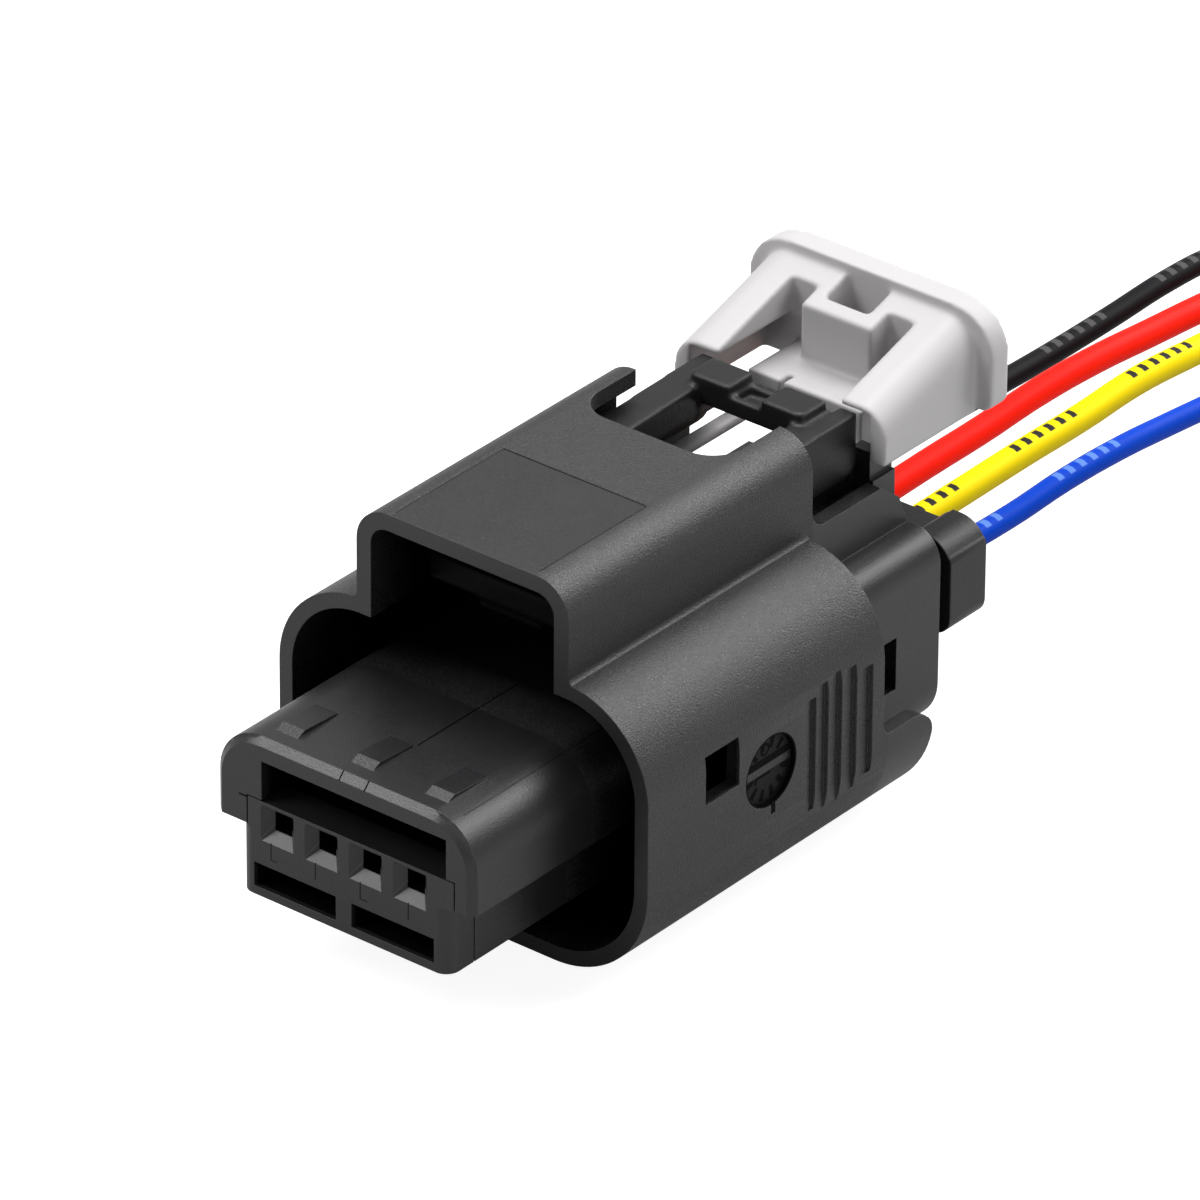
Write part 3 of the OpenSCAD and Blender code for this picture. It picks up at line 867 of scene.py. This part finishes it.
def mouldings() -> list[Moulding]:
    """The plastic pieces that are seen, each with its finish."""
    grained = Moulded("housing_black", BLACK_PLASTIC, rough=0.36, grain=1.7, grain_size=0.00011,
                      edge=0.0001, speckle=3.2, glitter=0.8)
    satin = Moulded("satin_black", BLACK_PLASTIC, rough=0.38, grain=0.6, speckle=0.5)
    crisp = replace(satin, name="retainer_black", edge=0.00006)
    silky = replace(satin, name="lever_black", gloss=0.28)
    capped = replace(satin, name="cap_black", gloss=0.38)
    pale = Moulded("lock_grey", (0.50, 0.488, 0.494), rough=0.5, grain=0.15, edge=0.0003, mottle=0.03)
    return [
        Moulding("housing_shell", ("housing",), "connector", grained, housing_marks),
        Moulding("retainer_front", ("front_retainer",), "retainer", crisp, retainer_marks,
                 holes=tuple(ContactHole(x) for x in WAYS)),
        Moulding("lever", ("latch_lever", "finger_grip", "lever_skirts"), "lever", silky, lever_marks,
                 grid=0.00011, passes=24),
        Moulding("cap", ("rear_cap",), "connector", capped, edge=0.0002),
        Moulding("lock", ("secondary_lock", "lock_prongs"), "lock", pale, grid=0.00015),
    ]


def dress_kept_nodes() -> None:
    """Finish the CAD nodes that stay: seals, tie, terminals and crimped wire ends."""
    rubber = Moulded("seal_rubber", (0.03, 0.03, 0.033), rough=0.7, edge=0.0002).make()
    tinned = Metal("terminal_tin", (0.72, 0.66, 0.52)).make()
    copper = Metal("copper", (0.80, 0.42, 0.25)).make()
    dress("perimeter_seal", rubber)
    dress("wire_seal", rubber)
    dress("coil_tie", Moulded("tie_black", (0.02, 0.02, 0.022), rough=0.5).make())
    for way in range(1, len(WAYS) + 1):
        dress(f"terminal_{way}", tinned)
        dress(f"conductor_{way}", copper)


# ---------------------------------------------------------------- camera, room and light


@dataclass
class Camera:
    """A long lens above the nose, to the right, with places in metres and angles in degrees."""

    aim: Point = (-0.003079, 0.001833, 0.014)
    distance: float = 0.74746
    azimuth: float = 38.8
    elevation: float = 30.0
    roll: float = -0.4
    lens: float = 360.0
    sensor: float = 36.0
    clip: tuple[float, float] = (0.05, 20.0)

    def build(self) -> None:
        """Add the camera and make it the scene's own."""
        a, e = math.radians(self.azimuth), math.radians(self.elevation)
        back = Vector((math.sin(a) * math.cos(e), -math.cos(a) * math.cos(e), math.sin(e)))
        clear()
        bpy.ops.object.camera_add(location=Vector(self.aim) + back * self.distance)
        camera = bpy.context.object
        camera.rotation_mode = "QUATERNION"
        look = (-back).to_track_quat("-Z", "Y")
        camera.rotation_quaternion = look @ Euler((0, 0, math.radians(-self.roll))).to_quaternion()
        camera.data.lens = self.lens
        camera.data.sensor_width = self.sensor
        camera.data.clip_start, camera.data.clip_end = self.clip
        bpy.context.scene.camera = camera


@dataclass(frozen=True)
class Lamp:
    """One soft square lamp that faces the connector, in metres and watts."""

    name: str
    place: Point
    power: float
    size: float = 0.5

    def build(self) -> None:
        """Add the lamp."""
        clear()
        bpy.ops.object.light_add(type="AREA", location=self.place)
        light = bpy.context.object
        light.name = self.name
        light.data.size = self.size
        light.data.energy = self.power
        light.rotation_mode = "QUATERNION"
        light.rotation_quaternion = (-Vector(self.place)).to_track_quat("-Z", "Y")


LAMPS = (
    Lamp("top", (-0.25, 0.20, 1.00), 9.0),
    Lamp("high", (0.35, 0.50, 0.85), 4.2),
    Lamp("rim", (0.50, 0.72, 0.60), 1.6, size=0.4),
    Lamp("back", (0.00, 0.95, 0.35), 4.8),
    Lamp("front", (0.05, -0.95, 0.35), 0.6),
    Lamp("fill", (-0.55, -0.50, 0.70), 5.0),
    Lamp("side", (0.95, -0.10, 0.35), 1.8),
)


@dataclass
class Room:
    """A floor and surroundings that are seen white, but light and mirror less than they show.

    The sky's light, the floor's glow where it is seen, and the shares of both that mirroring surfaces
    show, followed by the floor's own grey and its measures in metres.
    """

    sky: float = 0.10
    floor_glow: float = 0.89
    sky_mirrored: float = 0.45
    floor_mirrored: float = 0.07
    floor_grey: float = 0.43
    floor_size: float = 6.0
    floor_z: float = -0.00005

    def _white_seen(self, tree: bpy.types.NodeTree, mirrored: float) -> Wire:
        """Tell the rays to which a surface looks white.

        Args:
            tree: the material or world that asks.
            mirrored: the share that mirroring surfaces see.
        Returns:
            One for rays from the camera and glass, the share for mirrors, else nought.
        """
        path = tree.nodes.new("ShaderNodeLightPath")
        seen = Wire(tree, path.outputs["Is Camera Ray"])
        glass = Wire(tree, path.outputs["Is Transmission Ray"])
        return seen + glass + Wire(tree, path.outputs["Is Glossy Ray"]) * mirrored

    def build_world(self) -> None:
        """Make the sky's weak light, white where it is seen."""
        world = bpy.data.worlds.new("studio")
        world.use_nodes = True
        bpy.context.scene.world = world
        tree = world.node_tree
        back = tree.nodes["Background"]
        back.inputs["Color"].default_value = (1, 1, 1, 1)
        seen = self._white_seen(tree, self.sky_mirrored)
        strength = seen * (1.0 - self.sky) + self.sky
        tree.links.new(strength.socket, back.inputs["Strength"])

    def build_floor(self) -> None:
        """Lay the floor that takes the shadows."""
        clear()
        bpy.ops.mesh.primitive_plane_add(size=self.floor_size, location=(0, 0, self.floor_z))
        floor = bpy.context.object
        floor.name = "floor"
        s = Shader("floor_white")
        s.set(Base_Color=(self.floor_grey,) * 3, Roughness=0.9, Specular_IOR_Level=0.0)
        glow = s.node("ShaderNodeEmission", Color=(1, 1, 1, 1),
                      Strength=self._white_seen(s.tree, self.floor_mirrored) * self.floor_glow)
        both = s.tree.nodes.new("ShaderNodeAddShader")
        out = s.tree.nodes["Material Output"]
        s.tree.links.new(s.bsdf.outputs[0], both.inputs[0])
        s.tree.links.new(glow.socket, both.inputs[1])
        s.tree.links.new(both.outputs[0], out.inputs["Surface"])
        floor.data.materials.append(s.material)

    def build(self) -> None:
        """Make the whole room."""
        self.build_world()
        self.build_floor()
        for lamp in LAMPS:
            lamp.build()


# ---------------------------------------------------------------- leads


class Lay(Enum):
    """How a lead's far part lies."""

    COILED = "coiled"


@dataclass
class Lead:
    """One lead, from its crimp to its stripped end in the coil.

    Places, the radius, the winding (radius of its turns) and the strip are in millimetres, its length is
    in metres.
    """

    name: str
    radius: float
    route: Sequence[Point]
    finish: Insulation
    winding: float
    length: float = 0.25
    coil_centre: tuple[float, float] = (11.0, 118.0)
    steps_a_turn: int = 24
    least_steps: int = 12
    strip: float = 5.0
    tip_share: float = 0.6

    def winding_points(self) -> list[Vector]:
        """Points of the turns, going down to the floor.

        Returns:
            The points, in the row frame.
        """
        cx, cy = self.coil_centre
        r = self.winding
        run = sum((at(*b) - at(*a)).length for a, b in zip(self.route, self.route[1:])) / MM
        turned = (self.length / MM - run) / r
        steps = max(self.least_steps, int(turned / math.tau * self.steps_a_turn))
        top = self.route[-1][2]
        points = []
        for i in range(1, steps + 1):
            angle = math.pi - turned * i / steps
            z = top + (self.radius - top) * i / steps
            points.append(at(cx + r * math.cos(angle), cy + r * math.sin(angle), z))
        return points

    def points(self) -> list[Vector]:
        """The whole centre line."""
        return [at(*p) for p in self.route] + self.winding_points()

    def build(self, tip_metal: bpy.types.Material) -> None:
        """Args:
            tip_metal: the finish of the tip.
        """
        line = self.points()
        curve = bpy.data.curves.new(self.name + "_line", "CURVE")
        curve.dimensions = "3D"
        curve.bevel_depth = self.radius * MM
        curve.bevel_resolution = 5
        curve.use_fill_caps = True
        spline = curve.splines.new("BEZIER")
        spline.bezier_points.add(len(line) - 1)
        for knot, place in zip(spline.bezier_points, line):
            knot.co = place
            knot.handle_left_type = knot.handle_right_type = "AUTO"
        spline.resolution_u = 6
        lead = bpy.data.objects.new(self.name + "_lead", curve)
        bpy.context.collection.objects.link(lead)
        curve.materials.append(self.finish.make())
        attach(lead, "connector")
        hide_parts(self.name + "_wire", "wire_coil")
        end, before = line[-1], line[-2]
        ahead = (end - before).normalized()
        clear()
        bpy.ops.mesh.primitive_cylinder_add(vertices=16, radius=self.radius * self.tip_share * MM,
                                            depth=self.strip * MM,
                                            location=end + ahead * self.strip * MM * 0.5)
        tip = bpy.context.object
        tip.rotation_mode = "QUATERNION"
        tip.rotation_quaternion = ahead.to_track_quat("Z", "Y")
        finish(tip, self.name + "_tip", tip_metal, "connector")
        LOG.info("%s lead laid", self.name)


def leads() -> list[Lead]:
    """The four leads, from left to right."""
    black_at, _, yellow_at, blue_at = (way * MM for way in WAYS)
    return [
        Lead("black", THIN, [
            (-5.25, 23.2, 9.98), (-5.25, 49, 9.98), (-5.25, 56, 10.1), (-5.25, 64, 10.1),
            (-5.25, 72, 9.9), (-5.25, 78, 9.75), (-5.25, 84.5, 9.75), (-5.25, 91, 9.85),
            (-5.2, 96, 9.5), (-5, 100.5, 8.5), (-4.6, 105, 6.9), (-4, 109, 5.3),
            (-3.3, 113, 4.1), (-2.9, 116.5, 3.5)],
            Insulation("wire_black", (0.008, 0.008, 0.009), ink=(0.07, 0.07, 0.07), centre_x=black_at), 13.9),
        Lead("red", THICK, [
            (-1.75, 23.2, 9.98), (-1.75, 49, 9.98), (-1.75, 54, 10.3), (-1.75, 60, 10.47),
            (-1.75, 66, 10.5), (-1.75, 72, 10.7), (-1.75, 78, 10.5), (-1.75, 84, 9.95),
            (-1.75, 90, 9.4), (-1.75, 96, 8.7), (-1.6, 101, 7.7), (-1.4, 105.5, 6.6),
            (-1.15, 110, 5.6), (-0.98, 114, 4.9), (-0.95, 117, 4.6)],
            Insulation("wire_red", (0.88, 0.012, 0.006)), 11.95),
        Lead("yellow", THICK, [
            (1.75, 23.2, 9.98), (1.75, 49, 9.98), (1.75, 54, 10), (1.75, 60, 10.05),
            (1.75, 66, 10.1), (1.75, 72, 10.05), (1.75, 78, 10.2), (1.75, 84, 9.75),
            (1.7, 90, 9.1), (1.55, 96, 8.25), (1.35, 101.5, 7.25), (1.15, 107, 6.2),
            (1, 112, 5.4), (0.95, 117, 5.1)],
            Insulation("wire_yellow", (0.98, 0.74, 0.004), ink=(0.02, 0.02, 0.02), centre_x=yellow_at),
            10.05),
        Lead("blue", THIN, [
            (5.25, 23.2, 9.98), (5.25, 49, 9.98), (5.25, 54, 9.5), (5.25, 60, 9.3),
            (5.25, 66, 9.45), (5.25, 72, 9.2), (5.25, 77, 8.7), (5.25, 82, 8.15),
            (5.1, 88, 7.4), (4.7, 94, 6.7), (4.1, 100, 6.1), (3.5, 106, 5.6),
            (3, 112, 5.25), (2.85, 117, 5.1)],
            Insulation("wire_blue", (0.001, 0.050, 0.50), ink=(0.10, 0.22, 0.62), centre_x=blue_at), 8.15),
    ]


# ---------------------------------------------------------------- the whole scene


def main() -> None:
    """Build the scene."""
    logging.basicConfig(level=logging.INFO, format="%(message)s")
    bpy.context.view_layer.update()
    bpy.context.scene.view_settings.view_transform = "Standard"
    Camera().build()
    bare = Metal("bare_copper", (0.85, 0.50, 0.30)).make()
    for lead in leads():
        lead.build(bare)
    Room().build()
    for moulding in mouldings():
        moulding.build()
    dress_kept_nodes()


if __name__ == "__main__":
    main()
